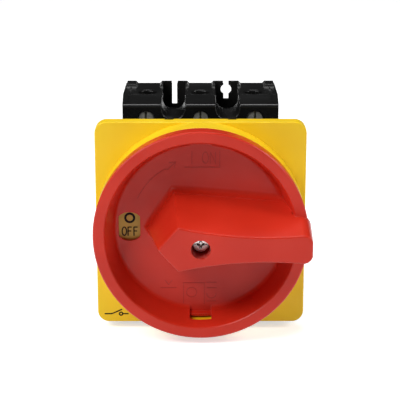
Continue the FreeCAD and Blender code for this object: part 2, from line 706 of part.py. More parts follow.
# ---------------------------------------------------------------- handle
def grip_outline(tip, shoulder, heel, end, side_arc, bulge, end_arc):
    """The grip's section: a pointed tip at the left and a rounded end at the right."""
    return outline(
        (tip, 0), (shoulder[0], -shoulder[1]), (heel[0], -heel[1], side_arc, bulge),
        (end[0], -end[1], end_arc, 1), end, (*heel, end_arc, 1), (*shoulder, side_arc, bulge))


def handle():
    body = new_body("handle")
    overrun = dim.overrun
    base = new_sketch(body, "XZ_Plane", dim.grip_base, [grip_outline(
        dim.tip_base, (dim.shoulder_base_x, dim.shoulder_base_z),
        (dim.heel_base_x, dim.heel_base_z), (dim.end_base_x, dim.end_base_z),
        dim.side_base_arc, 1, dim.end_base_arc)])
    front = new_sketch(body, "XZ_Plane", dim.grip_front, [grip_outline(
        dim.tip_front, (dim.shoulder_front_x, dim.shoulder_front_z),
        (dim.heel_front_x, dim.heel_front_z), (dim.end_front_x, dim.end_front_z),
        dim.side_front_arc, -1, dim.end_front_arc)])
    loft = body.newObject("PartDesign::AdditiveLoft", "Grip")
    loft.Profile = base
    loft.Sections = [(front, [""])]
    loft.Ruled = True
    doc.recompute()
    need(loft, loft.Shape.Volume > 1000)

    def front_or_left_edge(points):
        at_front = min(point.y for point in points) < dim.grip_front.value + 1.0
        return at_front or (depth_run(points) > 20 and points[0].x < 0)

    dress_if_possible(body, "Fillet", dim.grip_round, front_or_left_edge)
    # the grip stays out of the space that the collar and the rim's groove take
    spin(body, "Groove", rect(dim.clear_back, dim.groove_top,
                              dim.clear_low_rad, dim.clear_high_rad))
    floor_front, floor_back = dim.dish_floor_front, dim.dish_floor_back
    rim_front, bevel = dim.rim_front, dim.rim_bevel
    spin(body, "Revolution", outline(
        (floor_front, 0),
        *[(floor_front - forward, dim.dish_floor_rad + outward)
          for forward, outward in DISH_ROUNDING],
        (dim.dish_lip_y, dim.dish_lip_rad),
        (rim_front + dim.rim_lip_deep, dim.rim_inner_rad - dim.rim_lip_in),
        (rim_front, dim.rim_inner_rad + dim.rim_lip_out),
        (rim_front, dim.rim_outer_rad - bevel), (rim_front + bevel, dim.rim_outer_rad),
        (dim.skirt_back, dim.skirt_rad), (dim.skirt_back, dim.skirt_inner_rad),
        (dim.groove_top, dim.skirt_inner_rad), (dim.groove_top, dim.cup_outer_rad),
        (floor_back, dim.cup_back_rad), (floor_back, dim.hub_rad),
        (dim.hub_back, dim.hub_rad), (dim.hub_back, 0)))
    # well and way for the handle screw, square socket for the shaft, hollow core of the grip
    depth_pocket(body, dim.grip_front - overrun, dim.screw_well_floor,
                 circle(0, 0, dim.screw_well_rad))
    depth_pocket(body, dim.screw_way_front, dim.socket_end, circle(0, 0, dim.screw_way_rad))
    depth_pocket(body, dim.socket_end, dim.hub_back + overrun, square(dim.socket_half))
    depth_pocket(body, dim.grip_core_front, floor_back + overrun,
                 rect(dim.grip_core_x, dim.grip_core_end,
                      -dim.grip_core_half, dim.grip_core_half))
    # window over the legend: a round opening cut straight on two sides
    left, right, half = dim.label_left, dim.label_right, dim.label_side_half
    depth_pocket(body, floor_front - overrun, floor_back + dim.overlap, outline(
        (left, -half), (right, -half, dim.label_rad, 1),
        (right, half), (left, half, dim.label_rad, 1)))
    # padlock openings below and above: a slot through the cup wall, over a sunk ledge
    openings = [outline(
        (dim.hasp_back, side * dim.hasp_low), (dim.hasp_back, side * dim.ledge_top_back),
        (dim.hasp_open_y, side * dim.ledge_top_front), (dim.hasp_open_y, side * dim.hasp_top),
        (dim.hasp_front, side * dim.hasp_top), (dim.hasp_front, side * dim.hasp_low))
        for side in SIDES]
    extrude(body, "Pocket", "YZ_Plane", 0, dim.hasp_half * 2, openings, midplane=True)
    return body


def handle_screw():
    """A domed screw with a long slot, a short cross slot and a diamond recess."""
    body = new_body("handle_screw")
    spin(body, "Revolution", outline(
        (dim.knob_screw_front, 0),
        (dim.knob_head_edge, dim.knob_head_rad, dim.knob_dome_arc, -1),
        (dim.knob_head_back, dim.knob_head_rad), (dim.knob_head_back, dim.knob_screw_rad),
        (dim.knob_screw_end, dim.knob_screw_rad), (dim.knob_screw_end, 0)))
    front, half = dim.recess_front, dim.diamond_half
    depth_pocket(body, front, dim.long_slot_floor,
                 middle_rect(dim.long_slot_x, dim.long_slot_z))
    depth_pocket(body, front, dim.short_slot_floor,
                 middle_rect(dim.short_slot_x, dim.short_slot_z))
    depth_pocket(body, front, dim.diamond_floor,
                 outline((-half, 0), (0, -half), (half, 0), (0, half)))
    return body


def handle_washer():
    body = new_body("handle_washer")
    depth_pad(body, dim.washer_front, dim.screw_well_floor,
              circle(0, 0, dim.washer_rad), circle(0, 0, dim.washer_hole_rad))
    return body


# ---------------------------------------------------------------- rotating parts
def drive_shaft():
    body = new_body("drive_shaft")
    depth_pad(body, dim.shaft_front, dim.shaft_back, square(dim.shaft_half))
    dress(body, "Chamfer", dim.shaft_bevel, lambda points: depth_run(points) > 30)
    depth_pocket(body, dim.shaft_front, dim.shaft_front + dim.tap_deep,
                 circle(0, 0, dim.tap_rad))
    pin_hole = circle(0, dim.drum_pin_y, dim.drum_pin_rad + dim.tight_fit)
    extrude(body, "Pocket", "XY_Plane", 0, dim.pin_hole_length, [pin_hole], midplane=True)
    return body


def index_cam():
    """A disc with four flats, bearing hubs at both faces and a stop lug."""
    body = new_body("index_cam")
    front, back, outside = dim.cam_front, dim.cam_back, dim.cam_outside
    depth_pad(body, front, back, circle(0, 0, dim.cam_corner_rad))
    for side in SIDES:
        beyond = span(side, dim.cam_flat, outside)
        depth_pocket(body, front, back, rect(-outside, outside, *beyond))
        depth_pocket(body, front, back, rect(*beyond, -outside, outside))
    depth_pad(body, dim.lug_front, back, rect(-dim.lug_rad, 0, -dim.lug_half, dim.lug_half))
    depth_pad(body, dim.cam_hub_front, front, circle(0, 0, dim.cam_hub_rad))
    depth_pad(body, back, dim.cam_hub_back, circle(0, 0, dim.cam_hub_rad))
    depth_pocket(body, dim.cam_hub_front, dim.cam_hub_back, square(dim.drum_bore_half))
    return body


def cam_drum():
    """A drum whose two helical slots lift the carrier as the shaft turns."""
    front, half = dim.drum_front.value, dim.drum_bore_half.value
    tool_length = 40.0
    drum = Part.makeCylinder(dim.drum_rad.value, dim.drum_back.value - front,
                             Vector(0, front, 0), Vector(0, 1, 0))
    drum = drum.cut(Part.makeBox(2 * half, tool_length, 2 * half,
                                 Vector(-half, front - 5, -half)))
    drum = drum.cut(Part.makeCylinder(
        dim.drum_pin_rad.value + dim.tight_fit.value, tool_length,
        Vector(0, dim.drum_pin_y.value, -tool_length / 2), Vector(0, 0, 1)))
    cutters = []
    for step in range(SLOT_STEPS + 1):
        turn = math.radians(dim.quarter_turn.value * step / SLOT_STEPS)
        y = dim.follower_y.value + dim.throw.value * step / SLOT_STEPS
        # seen from the drum, the follower goes backwards by the angle that the drum has turned
        for start in (0.0, math.pi):
            outwards = Vector(math.cos(start + turn), 0, math.sin(start + turn))
            cutters.append(Part.makeCylinder(
                dim.slot_rad.value, dim.slot_cutter.value,
                Vector(0, y, 0) + outwards * dim.slot_floor_rad.value, outwards))
    return plain_piece("cam_drum", drum.cut(cutters[0].multiFuse(cutters[1:])))


def drum_pin():
    """The pin that locks the drum to the shaft."""
    sink = dim.drum_pin_sink
    sizes = {"Radius": dim.drum_pin_rad, "Height": (dim.drum_rad - sink) * 2}
    return primitive("Cylinder", "drum_pin", sizes, (0, dim.drum_pin_y, sink - dim.drum_rad))


def index_springs():
    """Two bowed steel leaves on the cam's flats."""
    half = dim.leaf_half.value
    leaves = []
    for side in SIDES:
        def bow(raised):
            end_z = side * (dim.leaf_end.value + raised)
            middle_z = side * (dim.leaf_middle.value + raised)
            return Part.Arc(Vector(-half, 0, end_z), Vector(0, 0, middle_z),
                            Vector(half, 0, end_z)).toShape()

        def end_line(x):
            low = dim.leaf_end.value
            high = low + dim.leaf_thick.value
            return Part.makeLine(Vector(x, 0, side * low), Vector(x, 0, side * high))

        edges = [bow(0.0), end_line(half), bow(dim.leaf_thick.value), end_line(-half)]
        face = Part.Face(Part.Wire(Part.__sortEdges__(edges)))
        leaf = face.extrude(Vector(0, dim.leaf_wide.value, 0))
        leaf.translate(Vector(0, dim.leaf_front.value, 0))
        leaves.append(leaf)
    return plain_piece("index_springs", Part.makeCompound(leaves))


# ---------------------------------------------------------------- sliding carrier and contacts
def bridge_carrier():
    """A beam moved by two arms at its front, with a stirrup for each pole at its back."""
    body = new_body("bridge_carrier")
    depth_pad(body, dim.beam_front, dim.beam_back, middle_rect(dim.beam_half, dim.beam_high))
    depth_pad(body, dim.arm_front, dim.beam_front, *[
        rect(*span(side, dim.arm_inner, dim.arm_outer), -dim.arm_half, dim.arm_half)
        for side in SIDES])
    half, back = dim.leg_half, dim.stirrup_back
    for number, x in POLES:
        outer_left, outer_right = pole_sides(number, dim.leg_outer, dim.end_leg_outer)
        inner_left, inner_right = pole_sides(number, dim.leg_inner, dim.end_leg_inner)
        left, right = x - outer_left, x + outer_right
        depth_pad(body, dim.beam_back, back, rect(left, x - inner_left, -half, half))
        depth_pad(body, dim.beam_back, back, rect(x + inner_right, right, -half, half))
        depth_pad(body, dim.stirrup_front, back, rect(left, right, -half, half))
    pin_hole = circle(dim.follower_y, 0, dim.follower_rad + dim.follower_gap)
    extrude(body, "Pocket", "YZ_Plane", 0, dim.through, [pin_hole], midplane=True)
    return body


def follower_pins():
    """Pins in the carrier's arms that run in the drum's slots."""
    sizes = {"Radius": dim.follower_rad, "Height": dim.arm_outer - dim.follower_inner}
    return group("follower_pins", [
        primitive("Cylinder", label, sizes, (x, dim.follower_y, 0), ALONG_X)
        for label, x in (("follower_right", dim.follower_inner),
                         ("follower_left", -dim.arm_outer))])


def contact_bridge(number, x):
    body = new_body(f"contact_bridge_{number}")
    depth_pad(body, dim.bridge_front, dim.bridge_back,
              rect(x - dim.bridge_half, x + dim.bridge_half,
                   -dim.bridge_high, dim.bridge_high))
    dress(body, "Fillet", dim.bridge_round, lambda points: depth_run(points) > 1.0)
    return body


def contact_tip(label, x, front, back, side):
    return box(label, x - dim.tip_half, x + dim.tip_half, front, back,
               *span(side, dim.tip_low, dim.tip_high))


def moving_contact_tips():
    return group("moving_contact_tips", [
        contact_tip(f"moving_tip_{number}_{int(side) + 1}", x,
                    dim.bridge_back, dim.moving_tip_back, side)
        for number, x in POLES for side in SIDES])


def contact_springs():
    """A coil between the beam and each contact bridge."""
    radius, wire = dim.spring_rad.value, dim.spring_wire.value
    front = dim.beam_back.value + wire + dim.spring_gap.value
    height = dim.bridge_front.value - wire - dim.spring_gap.value - front
    coils = []
    for _, x in POLES:
        helix = Part.makeHelix(height / dim.spring_turns.value, height, radius)
        section = Part.Wire([Part.makeCircle(wire, Vector(radius, 0, 0), Vector(0, 1, 0))])
        coil = Part.Wire(helix).makePipeShell([section], True, True)
        coil.rotate(Vector(0, 0, 0), Vector(1, 0, 0), -90)
        coil.translate(Vector(x.value, front, 0))
        coils.append(coil)
    return plain_piece("contact_springs", Part.makeCompound(coils))


# ---------------------------------------------------------------- contact housings
def housing_blank(label, front, back, half_front, half_back):
    body = new_body(label)
    shape = outline((-half_front, front), (half_front, front),
                    (half_back, back), (-half_back, back))
    extrude(body, "Pad", "XY_Plane", 0, dim.block_high * 2, [shape], midplane=True)
    return body


def cut_lines(body, side, front, back):
    """Two shallow lines along the depth in the top or bottom face."""
    face_pocket(body, side, dim.line_deep, *[
        rect(edge * dim.line_x - dim.line_half, edge * dim.line_x + dim.line_half, front, back)
        for edge in SIDES])


def cut_chambers(body, front, back):
    for number, x in POLES:
        left, right = pole_sides(number, dim.chamber_half, dim.chamber_end_half)
        depth_pocket(body, front, back,
                     rect(x - left, x + right, -dim.chamber_high, dim.chamber_high))


def cut_at_poles(body, side, front, back, half, low, high):
    depth_pocket(body, front, back,
                 *[rect(x - half, x + half, *span(side, low, high)) for _, x in POLES])


def trough(x, side):
    """A trough with rounded bottom corners, open at the top or bottom face."""
    radius = dim.trough_arc
    left, right = x - dim.trough_half, x + dim.trough_half
    top, floor = side * dim.trough_top, side * dim.trough_floor
    arc_end = side * (dim.trough_floor + radius)
    return outline((left, top), (left, arc_end), (left + radius, floor, radius, side),
                   (right - radius, floor), (right, arc_end, radius, side), (right, top))


def trough_edge(points):
    """Picks the troughs' edges at the front, and where they meet the top and bottom faces."""
    start, _, end = points
    in_front = (at_depth(points, dim.block_front)
                and all(4 < abs(point.x) < 19 for point in points)
                and (abs(start.z - end.z) > 0.5
                     or abs(abs(start.z) - dim.trough_floor.value) < 0.01))
    along = (depth_run(points) > 15 and near(abs(start.z), dim.block_high)
             and 5 < abs(start.x) < 19)
    return in_front or along


def contact_housing_front():
    front, back = dim.block_front, dim.block_split
    body = housing_blank("contact_housing_front", front, back,
                         dim.block_half_front, dim.block_half_split)
    dress(body, "Fillet", dim.block_round, lambda points:
          at_depth(points, front) and near(abs(points[1].z), dim.block_high))
    depth_pocket(body, front, back, *[trough(edge * dim.trough_x, side)
                                      for edge in SIDES for side in (1.0, -1.0)])
    dress_if_possible(body, "Fillet", dim.trough_round, trough_edge)
    depth_pocket(body, front, dim.bay_back, circle(0, 0, dim.bay_rad))
    for side in SIDES:
        cut_lines(body, side, dim.line_front, back)
    depth_pocket(body, dim.beam_way_front, back,
                 middle_rect(dim.beam_way_half, dim.beam_way_high))
    cut_chambers(body, dim.chamber_front, back)
    # pockets for the terminal clamps and round ways to their screws
    for side in SIDES:
        cut_at_poles(body, side, dim.pocket_front, back,
                     dim.pocket_half, dim.pocket_low, dim.pocket_high)
        screws = [(x, side * dim.screw_row) for _, x in POLES]
        depth_pocket(body, front - dim.overrun, dim.pocket_front + dim.overrun,
                     *circles(screws, dim.screw_way))
    depth_pocket(body, front, back, *circles(LONG_SCREWS, dim.long_way_rad))
    return body


def add_ridges(body, side):
    root, foot, top = (side * height
                       for height in (dim.ridge_root, dim.ridge_foot, dim.ridge_high))
    depth_pad(body, dim.ridge_front, dim.block_back, *[
        outline((left - spread_left, root), (right + spread_right, root),
                (right + spread_right, foot), (right, top), (left, top),
                (left - spread_left, foot))
        for left, right, spread_left, spread_right in RIDGES])
    dress_if_possible(body, "Chamfer", dim.ridge_bevel, lambda points:
                      at_depth(points, dim.ridge_front)
                      and all(near(point.z, top) for point in points))


def cut_wire_mouths(body, side):
    """Rounded openings in the top or bottom face, with a bevelled lip."""
    front, back, half = dim.mouth_front, dim.mouth_back, dim.mouth_half
    face_pocket(body, side, dim.block_high - dim.pocket_high + dim.overlap, *[
        round_rect(x - half, x + half, front, back, dim.mouth_corner) for _, x in POLES])

    def mouth_edge(points):
        depths = [point.y for point in points]
        return (all(near(point.z, side * dim.block_high) for point in points)
                and front.value - 0.1 < min(depths) and max(depths) < back.value + 0.1)

    dress(body, "Chamfer", dim.mouth_lip, mouth_edge)


def contact_housing_rear():
    split, back, trough_x = dim.block_split, dim.block_back, dim.trough_x
    body = housing_blank("contact_housing_rear", split, back,
                         dim.block_half_split, dim.block_half_back)
    for side in SIDES:
        add_ridges(body, side)
    outside = dim.ridge_high + dim.overrun
    past_back = back + dim.overrun
    for side in SIDES:
        depth_pocket(body, split, dim.gap_back, *[
            rect(edge * trough_x - dim.trough_half, edge * trough_x + dim.trough_half,
                 *span(side, dim.gap_floor, outside)) for edge in SIDES])
        cut_at_poles(body, side, split, dim.pocket_back,
                     dim.pocket_half, dim.pocket_low, dim.pocket_high)
        cut_wire_mouths(body, side)
        # ways for the terminal bars between chambers and clamp pockets
        cut_at_poles(body, side, dim.bar_way_front, dim.bar_way_back, dim.bar_way_half,
                     dim.chamber_high - dim.overrun, dim.pocket_low + dim.overrun)
        cut_lines(body, side, split, dim.ridge_front - 1)
        # a straight notch at one gap and a keyhole at the other, through the rear wall
        wall_front = dim.gap_back - dim.overlap
        for x, half, floor in ((-trough_x, dim.notch_half, dim.notch_floor),
                               (trough_x, dim.key_half, dim.key_floor)):
            depth_pocket(body, wall_front, past_back,
                         rect(x - half, x + half, *span(side, floor, outside)))
        depth_pocket(body, wall_front, past_back,
                     circle(trough_x, side * dim.key_high, dim.key_rad))
    cut_chambers(body, split, dim.chamber_back)
    depth_pocket(body, split, back, *circles(LONG_SCREWS, dim.long_way_rad))
    depth_pocket(body, dim.long_head_seat, past_back,
                 *circles(LONG_SCREWS, dim.long_head_rad + dim.long_head_gap))
    return body


def assembly_screws():
    """Long screws from the back that hold the housings together."""
    seat = dim.long_head_seat
    return screw_set(
        "assembly_screws", "long", LONG_SCREWS,
        head=(dim.long_head_rad, seat, dim.long_head_back),
        stem=(dim.long_screw_rad, dim.long_screw_end, seat),
        slot=(dim.long_drive_half, dim.long_drive_floor, dim.block_back, dim.long_drive_thin))


# ---------------------------------------------------------------- terminals and arc plates
def terminal_bar(row, number, side, x):
    body = new_body(f"{row}_terminal_{number}")
    depth_pad(body, dim.bar_front, dim.bar_back,
              rect(x - dim.bar_half, x + dim.bar_half, *span(side, dim.bar_low, dim.bar_top)))
    dress(body, "Fillet", dim.bar_round, lambda points: depth_run(points) > 1.0)
    return body


def fixed_contact_tips():
    return group("fixed_contact_tips", [
        contact_tip(f"fixed_tip_{row}_{number}", x, dim.fixed_tip_front, dim.bar_front, side)
        for row, number, side, x in TERMINALS])


def clamp_cage(tag, side, x):
    """A steel frame around the bar, with a hole for the clamp screw in its front wall."""
    overrun = dim.overrun
    shell = box("cage_shell_" + tag, x - dim.cage_half, x + dim.cage_half,
                dim.cage_front, dim.cage_back, *span(side, dim.cage_low, dim.cage_top))
    hollow = box("cage_hollow_" + tag, x - dim.cage_in_half, x + dim.cage_in_half,
                 dim.cage_nut_back, dim.cage_seat,
                 *span(side, dim.cage_low - overrun, dim.cage_top + overrun))
    hole = rod("cage_thread_" + tag, dim.clamp_hole_rad, dim.cage_front - overrun,
               dim.cage_nut_back + overrun, x, side * dim.screw_row)
    return cut("cage_" + tag, cut("cage_open_" + tag, shell, hollow), hole)


def terminal_clamps():
    return group("terminal_clamps", [clamp_cage(f"{row}_{number}", side, x)
                                     for row, number, side, x in TERMINALS])


def pressure_saddles():
    return group("pressure_saddles", [
        box(f"saddle_{row}_{number}", x - dim.saddle_half, x + dim.saddle_half,
            dim.saddle_front, dim.saddle_back, *span(side, dim.saddle_low, dim.saddle_top))
        for row, number, side, x in TERMINALS])


def terminal_screws():
    front, seat = dim.clamp_head_front, dim.clamp_head_back
    return group("terminal_screws", [slotted_screw(
        "clamp", f"{row}_{number}", x, side * dim.screw_row,
        head=(dim.clamp_head_rad, front, seat),
        stem=(dim.clamp_rad, seat, dim.clamp_tip),
        slot=(dim.clamp_slot_thin, front - dim.overrun, front + dim.clamp_slot_deep,
              dim.clamp_slot_half))
        for row, number, side, x in TERMINALS])


def arc_plates():
    """A stack of plates at both ends of every chamber."""
    plates = []
    for number, x in POLES:
        for side in SIDES:
            for index in range(ARC_PLATES):
                y = dim.arc_plate_first + dim.arc_plate_pitch * index
                plates.append(box(
                    f"arc_plate_{number}_{int(side) + 1}_{index}",
                    x - dim.arc_plate_half, x + dim.arc_plate_half,
                    y, y + dim.arc_plate_thick,
                    *span(side, dim.arc_plate_low, dim.arc_plate_high)))
    return group("arc_plates", plates)


# ---------------------------------------------------------------- build, check and export
pieces = [
    front_plate(), locking_collar(), collar_screws(), legend_plate(), shaft_seal(),
    mounting_frame(), panel_gasket(), frame_screws(),
    mechanism_housing(), shaft_bush(), mechanism_cover(),
    handle(), handle_screw(), handle_washer(),
    drive_shaft(), index_cam(), cam_drum(), drum_pin(), index_springs(),
    bridge_carrier(), follower_pins(), *[contact_bridge(number, x) for number, x in POLES],
    moving_contact_tips(), contact_springs(),
    contact_housing_front(), contact_housing_rear(), assembly_screws(),
    *[terminal_bar(*terminal) for terminal in TERMINALS],
    fixed_contact_tips(), terminal_clamps(), pressure_saddles(), terminal_screws(),
    arc_plates(),
]

doc.recompute()
for item in doc.Objects:
    if is_bad(item):
        raise RuntimeError(f"{item.Label} is in state {item.State}")
for piece in pieces:
    shape = piece.Shape
    if shape.isNull() or not shape.isValid() or not shape.Solids:
        raise RuntimeError(f"{piece.Label} has no valid solid")
    if any(solid.Volume <= 0 for solid in shape.Solids):
        raise RuntimeError(f"{piece.Label} holds a solid with no volume")
    if piece.TypeId == "PartDesign::Body" and len(shape.Solids) != 1:
        raise RuntimeError(f"{piece.Label} came out as {len(shape.Solids)} solids")

os.makedirs("parts", exist_ok=True)
for piece in pieces:
    piece.Shape.exportStep(f"parts/{piece.Label}.step")
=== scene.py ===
"""A rotary switch: a square plate and legend, a red dished rotor and a pointed grip with a screw.

The front faces -Y, +X is right and +Z is up, and the rotor turns about the Y axis through the
origin. The CAD pieces get their materials here. Printed marks, relief marks, the hollow round
the grip's foot and a detailed grip screw are added. Shapes are in mm, scaled by MM to metres.
Materials, lights and camera are in metres.
"""
import json
import math

import bmesh
import bpy
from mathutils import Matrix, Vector


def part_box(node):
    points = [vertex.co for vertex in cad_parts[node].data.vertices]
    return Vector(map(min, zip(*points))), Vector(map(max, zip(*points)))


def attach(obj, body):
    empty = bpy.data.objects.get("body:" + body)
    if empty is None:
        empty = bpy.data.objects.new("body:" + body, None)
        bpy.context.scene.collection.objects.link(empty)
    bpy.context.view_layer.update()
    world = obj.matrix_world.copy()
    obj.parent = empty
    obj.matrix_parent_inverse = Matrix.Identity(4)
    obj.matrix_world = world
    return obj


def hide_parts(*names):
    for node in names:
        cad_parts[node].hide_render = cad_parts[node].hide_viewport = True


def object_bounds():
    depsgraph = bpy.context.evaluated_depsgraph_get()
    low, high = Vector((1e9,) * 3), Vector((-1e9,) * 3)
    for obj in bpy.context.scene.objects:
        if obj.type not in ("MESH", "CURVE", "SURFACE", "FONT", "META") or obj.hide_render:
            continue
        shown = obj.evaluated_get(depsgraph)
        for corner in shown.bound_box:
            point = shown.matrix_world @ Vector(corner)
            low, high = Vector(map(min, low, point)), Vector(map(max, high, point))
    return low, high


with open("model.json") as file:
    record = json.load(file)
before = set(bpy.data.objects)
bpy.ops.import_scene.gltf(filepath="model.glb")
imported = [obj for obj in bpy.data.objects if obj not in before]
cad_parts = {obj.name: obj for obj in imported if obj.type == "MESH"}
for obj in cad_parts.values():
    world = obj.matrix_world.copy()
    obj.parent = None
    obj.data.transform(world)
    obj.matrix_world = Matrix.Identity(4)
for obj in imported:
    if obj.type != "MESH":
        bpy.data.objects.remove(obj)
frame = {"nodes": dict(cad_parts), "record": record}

CAD_BOX = [list(corner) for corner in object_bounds()]
MM = 0.001
scene = bpy.context.scene


# ------------------------------------------------------------------ node helpers
class Nodes:
    """Builds a node tree. Values may be numbers, colours or output sockets."""

    def __init__(self, owner):
        owner.use_nodes = True
        self.tree = owner.node_tree
        self.tree.nodes.clear()

    def put(self, node, key, value):
        if isinstance(value, bpy.types.NodeSocket):
            self.tree.links.new(value, node.inputs[key])
        else:
            node.inputs[key].default_value = value

    def add(self, kind, inputs=None, **settings):
        node = self.tree.nodes.new(kind)
        for key, value in settings.items():
            setattr(node, key, value)
        for key, value in (inputs or {}).items():
            self.put(node, key, value)
        return node


class Material(Nodes):
    """A material with one Principled shader. Each method returns an output socket."""

    def __init__(self, name):
        self.data = bpy.data.materials.new(name)
        super().__init__(self.data)
        output = self.add("ShaderNodeOutputMaterial")
        self.shader = self.add("ShaderNodeBsdfPrincipled")
        self.put(output, "Surface", self.shader.outputs["BSDF"])
        self.coords = self.add("ShaderNodeTexCoord").outputs["Object"]

    def surface(self, **values):
        """Set shader inputs, with underscores for the spaces in their names."""
        for key, value in values.items():
            self.put(self.shader, key.replace("_", " "), value)

    def noise(self, scale, detail=2.0, rough=0.5, distort=0.0, stretch=None):
        node = self.add("ShaderNodeTexNoise", {
            "Scale": scale, "Detail": detail, "Roughness": rough, "Distortion": distort})
        vector = self.coords
        if stretch:
            mapping = self.add("ShaderNodeMapping", {"Scale": stretch, "Vector": vector})
            vector = mapping.outputs["Vector"]
        self.put(node, "Vector", vector)
        return node.outputs["Fac"]

    def ramp(self, factor, stops):
        """stops: (position, RGBA)."""
        node = self.add("ShaderNodeValToRGB", {"Fac": factor})
        elements = node.color_ramp.elements
        while len(elements) > 1:
            elements.remove(elements[-1])
        for i, (position, colour) in enumerate(stops):
            element = elements.new(position) if i else elements[0]
            element.position = position
            element.color = colour
        return node.outputs["Color"]

    def remap(self, value, source, target):
        return self.add("ShaderNodeMapRange", {
            "From Min": source[0], "From Max": source[1],
            "To Min": target[0], "To Max": target[1], "Value": value}).outputs["Result"]

    def math(self, operation, a, b):
        node = self.add("ShaderNodeMath", {0: a, 1: b}, operation=operation)
        return node.outputs["Value"]

    def mix(self, factor, a, b):
        # On the Mix node, inputs 6 and 7 and output 2 are the colour sockets.
        node = self.add("ShaderNodeMix", {0: factor, 6: a, 7: b},
                        data_type="RGBA", blend_type="MIX")
        return node.outputs[2]

    def edge(self, radius, gain=6.0):
        """A mask that is 1 along edges and 0 on open faces, and the rounded normal."""
        bevel = self.add("ShaderNodeBevel", {"Radius": radius}, samples=6)
        geometry = self.add("ShaderNodeNewGeometry")
        rounded = bevel.outputs["Normal"]
        dot = self.add("ShaderNodeVectorMath", {0: rounded, 1: geometry.outputs["Normal"]},
                       operation="DOT_PRODUCT")
        turned = self.math("SUBTRACT", 1.0, dot.outputs["Value"])
        gained = self.math("MULTIPLY", turned, gain)
        return self.add("ShaderNodeClamp", {"Value": gained}).outputs["Result"], rounded

    def bump(self, height, strength, distance, normal=None):
        node = self.add("ShaderNodeBump", {
            "Strength": strength, "Distance": distance, "Height": height})
        if normal:
            self.put(node, "Normal", normal)
        return node.outputs["Normal"]


# ------------------------------------------------------------------ materials
def srgb(*levels):
    """sRGB 0..255 to linear."""
    shares = (level / 255.0 for level in levels)
    return tuple(v / 12.92 if v <= 0.04045 else ((v + 0.055) / 1.055) ** 2.4 for v in shares)


def plastic(name, dark, base, light, rough, grain_bump, edge_radius=0.00035, specular=0.5,
            edge_tone=None, edge_mix=0.22):
    """Moulded plastic: slow colour drift, flow marks, fine grain and lighter edges, which are wear
    at the default tone and a painted highlight where a bright edge tone is given.
    """
    dark, base, light, edge_tone = ((*tone, 1) for tone in (dark, base, light, edge_tone or light))
    m = Material(name)
    slow = m.noise(scale=38.0, detail=1.0)
    flow = m.noise(scale=120.0, detail=1.0, distort=0.3, stretch=(1.0, 1.0, 0.35))
    colour = m.ramp(slow, [(0.30, dark), (0.52, base), (0.74, light)])
    grain = m.noise(scale=2400.0)
    flow_share = m.remap(flow, source=(0.30, 0.70), target=(0.0, 0.08))
    colour = m.mix(flow_share, colour, light)
    grain_share = m.remap(grain, source=(0.30, 0.72), target=(0.0, 0.05))
    colour = m.mix(grain_share, colour, dark)
    edge = rounded = None
    if edge_radius:
        edge, rounded = m.edge(edge_radius)
        # Edges lighten towards edge_tone. At the default tone and mix this is wear; on the red it
        # is a painted highlight.
        colour = m.mix(m.math("MULTIPLY", edge, edge_mix), colour, edge_tone)
    roughness = m.remap(m.noise(scale=150.0), source=(0.3, 0.7), target=rough)
    if edge:
        # Edges are polished, but never below a floor that depends on the plastic.
        polish = m.math("MULTIPLY", edge, 0.06)
        floor_value = 0.285 if rough[0] >= 0.285 else 0.05
        roughness = m.math("MAXIMUM", m.math("SUBTRACT", roughness, polish), floor_value)
    m.surface(Base_Color=colour, Roughness=roughness, Specular_IOR_Level=specular,
              Coat_Roughness=0.12)
    grain_height = m.math("MULTIPLY", grain, 0.6)
    coarse = m.noise(scale=1500.0, detail=3.0, rough=0.55)
    height = m.math("ADD", grain_height, m.math("MULTIPLY", coarse, 0.4))
    m.surface(Normal=m.bump(height, strength=grain_bump, distance=0.00012, normal=rounded))
    return m.data


def metal(name, dark, base, rough, brush=(1.0, 9.0, 1.0), scratch=0.25, metallic=1.0,
          hollow_shade_reach=0.0):
    """Metal with mottled tone, brush lines, bright edges and, if asked, painted shade in its
    hollows.
    """
    bright = (*(min(1.0, v * 1.25) for v in base), 1)
    m = Material(name)
    tone = m.noise(scale=420.0, detail=4.0, rough=0.6)
    colour = m.ramp(tone, [(0.28, (*dark, 1)), (0.62, (*base, 1))])
    lines = m.noise(scale=900.0, detail=3.0, rough=0.6, stretch=brush)
    edge, rounded = m.edge(radius=0.0002)
    colour = m.mix(m.math("MULTIPLY", edge, 0.5), colour, bright)
    if hollow_shade_reach:
        # Painted shade: hollows found by ambient occlusion are darkened towards near black.
        hollow = m.add("ShaderNodeAmbientOcclusion", {"Distance": hollow_shade_reach},
                       samples=8, only_local=True)
        unshaded = m.remap(hollow.outputs["AO"], source=(0.38, 0.80), target=(0.0, 1.0))
        colour = m.mix(unshaded, (0.012, 0.011, 0.010, 1), colour)
    m.surface(Base_Color=colour, Metallic=metallic,
              Roughness=m.remap(lines, source=(0.3, 0.7), target=rough))
    m.surface(Normal=m.bump(lines, strength=scratch, distance=0.00003, normal=rounded))
    return m.data


RED_LOOK = dict(
    dark=(0.56, 0.021, 0.008), base=(0.61, 0.026, 0.010), light=(0.67, 0.032, 0.014),
    rough=(0.29, 0.36), grain_bump=0.03, specular=0.31)
# The red's edges are lightened to a bright pink at a strong mix: a painted highlight along its
# edges.
RED = plastic("red_moulded", edge_tone=(0.80, 0.14, 0.10), edge_mix=0.40, **RED_LOOK)
RED_COVE = plastic("red_moulded_cove", edge_radius=0.0, **RED_LOOK)
YELLOW = plastic(
    "yellow_moulded",
    dark=(0.87, 0.57, 0.008), base=(0.92, 0.62, 0.010), light=(0.94, 0.66, 0.016),
    rough=(0.36, 0.48), grain_bump=0.05, specular=0.40)
BLACK = plastic(
    "black_moulded",
    dark=(0.0048, 0.0048, 0.0048), base=(0.0075, 0.0075, 0.0072), light=(0.016, 0.016, 0.016),
    rough=(0.17, 0.26), grain_bump=0.018, edge_radius=0.0003)
NYLON = plastic(
    "natural_moulded",
    dark=srgb(212, 206, 188), base=srgb(226, 222, 206), light=srgb(238, 235, 224),
    rough=(0.40, 0.55), grain_bump=0.08)
